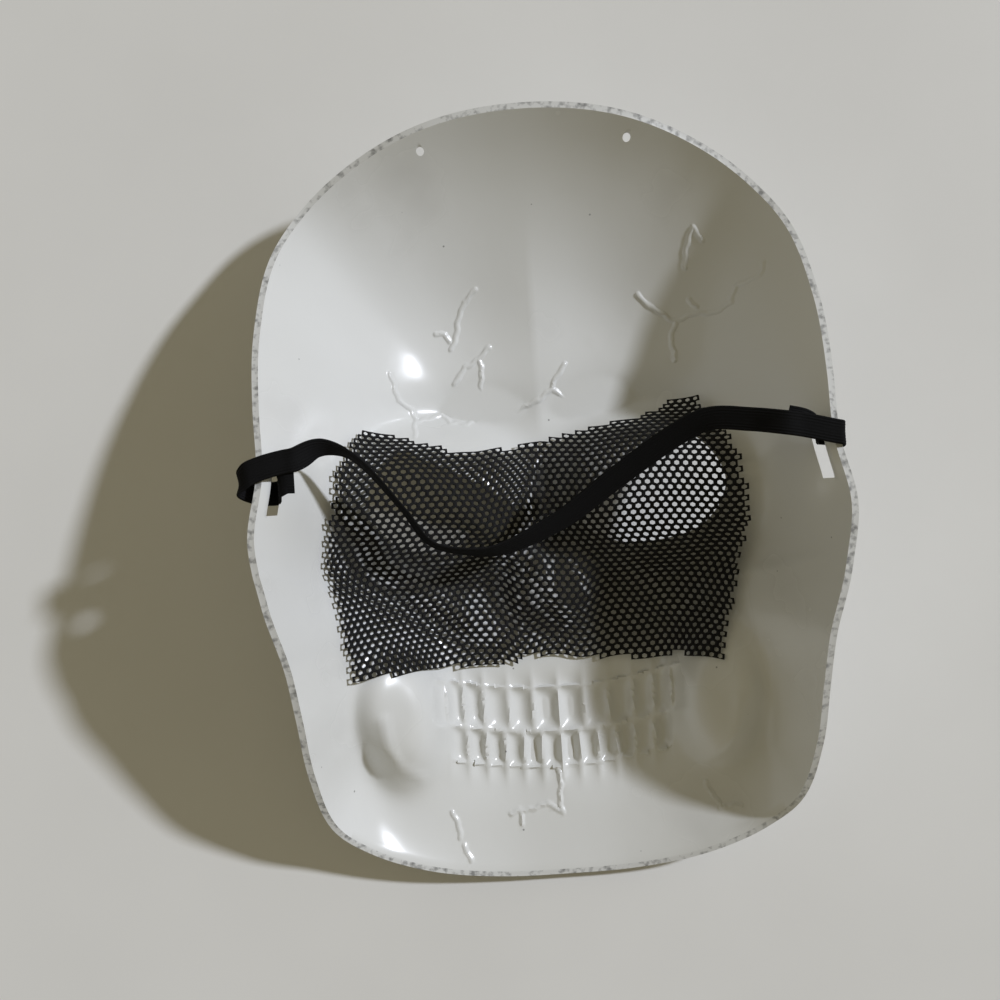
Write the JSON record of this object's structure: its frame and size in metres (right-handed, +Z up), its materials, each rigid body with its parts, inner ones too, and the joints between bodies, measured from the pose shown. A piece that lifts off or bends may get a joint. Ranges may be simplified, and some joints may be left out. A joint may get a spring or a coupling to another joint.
{
  "type": "skull mask",
  "caption": "Thin white plastic skull mask lying face down, hollow side up, with black mesh cloth inside its eye and nose holes and a flat elastic strap.",
  "frame": {"origin": "middle of the object's box, on the surface that its face lies on", "axes": "+X to the right of the picture, +Y from the chin to the crown, +Z up from the face into the hollow"},
  "size_m": [0.2054, 0.278, 0.082],
  "materials": {
    "white_plastic": "thin glossy white pressed plastic sheet, faint grey patches",
    "black_mesh": "black knitted mesh cloth with round holes",
    "black_elastic": "black ribbed flat elastic"
  },
  "bodies": {
    "root": {"mask_shell": "white_plastic", "eye_mesh": "black_mesh", "elastic_strap": "black_elastic"}
  },
  "joints": []
}
